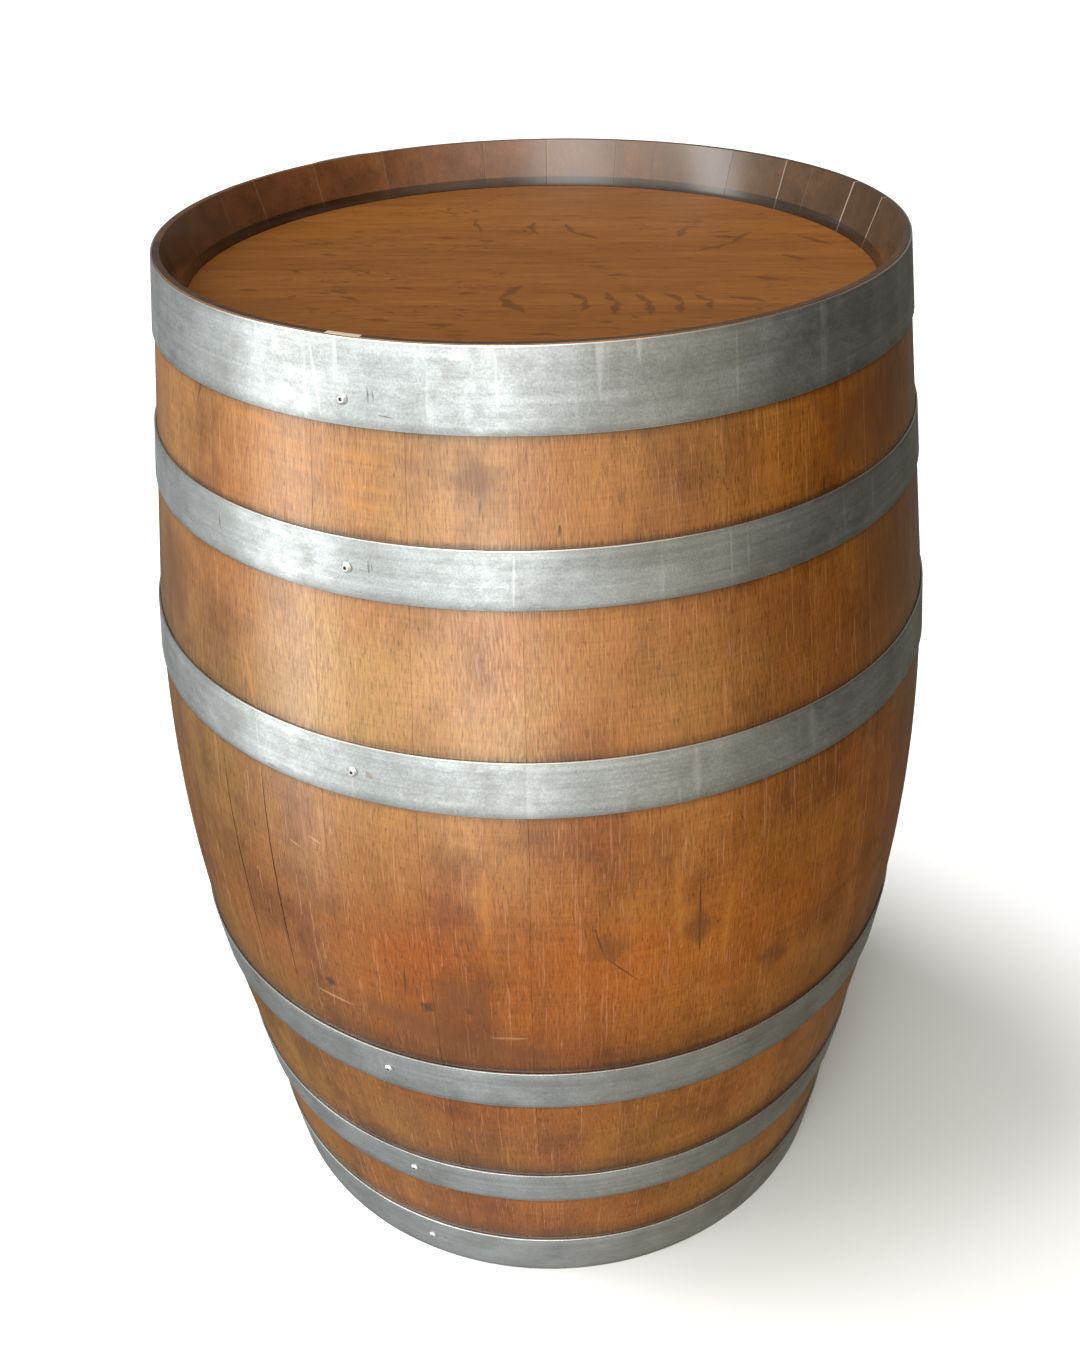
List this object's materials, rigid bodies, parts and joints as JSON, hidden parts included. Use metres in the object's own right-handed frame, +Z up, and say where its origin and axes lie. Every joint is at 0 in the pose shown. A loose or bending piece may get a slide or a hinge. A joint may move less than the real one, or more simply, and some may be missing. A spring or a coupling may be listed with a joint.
{
  "type": "oak wine barrel",
  "caption": "Bilged oak wine barrel built of bent staves, with two dowelled heads set in croze grooves, riveted galvanised steel hoops and a tapered bung that pulls out.",
  "frame": {"origin": "middle of the foot, on the surface that the barrel stands on", "axes": "+Z up along the barrel's axis; -Y towards the front, which has the line of hoop screws left of its middle; the bung is at the back"},
  "size_m": [0.7048, 0.7115, 0.95],
  "materials": {
    "stave_oak": "varnished oak, fine vertical grain",
    "head_oak": "varnished oak with medullary ray flecks",
    "hoop_steel": "mottled galvanised strip with bright worn edges",
    "rivet_steel": "dull galvanised",
    "screw_steel": "zinc plated",
    "dowel_wood": "plain unfinished",
    "bung_wood": "turned, plain"
  },
  "bodies": {
    "barrel": {"stave_01": "stave_oak", "stave_02": "stave_oak", "stave_03": "stave_oak", "stave_04": "stave_oak", "stave_05": "stave_oak", "stave_06": "stave_oak", "stave_07": "stave_oak", "stave_08": "stave_oak", "stave_09": "stave_oak", "stave_10": "stave_oak", "stave_11": "stave_oak", "stave_12": "stave_oak", "stave_13": "stave_oak", "stave_14": "stave_oak", "stave_15": "stave_oak", "stave_16": "stave_oak", "stave_17": "stave_oak", "stave_18": "stave_oak", "stave_19": "stave_oak", "stave_20": "stave_oak", "stave_21": "stave_oak", "stave_22": "stave_oak", "stave_23": "stave_oak", "bung_stave": "stave_oak", "stave_25": "stave_oak", "stave_26": "stave_oak", "stave_27": "stave_oak", "stave_28": "stave_oak", "stave_29": "stave_oak", "stave_30": "stave_oak", "top_chime_hoop": "hoop_steel", "top_quarter_hoop": "hoop_steel", "top_bilge_hoop": "hoop_steel", "bottom_chime_hoop": "hoop_steel", "bottom_quarter_hoop": "hoop_steel", "bottom_bilge_hoop": "hoop_steel", "top_head_board_1": "head_oak", "top_head_board_2": "head_oak", "top_head_board_3": "head_oak", "top_head_board_4": "head_oak", "top_head_board_5": "head_oak", "top_head_board_6": "head_oak", "bottom_head_board_1": "head_oak", "bottom_head_board_2": "head_oak", "bottom_head_board_3": "head_oak", "bottom_head_board_4": "head_oak", "bottom_head_board_5": "head_oak", "bottom_head_board_6": "head_oak", "top_head_dowels": "dowel_wood", "bottom_head_dowels": "dowel_wood", "hoop_rivets": "rivet_steel", "hoop_screws": "screw_steel"},
    "bung": {"bung": "bung_wood"}
  },
  "joints": [
    {"name": "bung_pull", "type": "slide", "parent": "barrel", "child": "bung", "axis": [0.1814, 0.9834, 0], "range_m": [0, 0.12]}
  ]
}
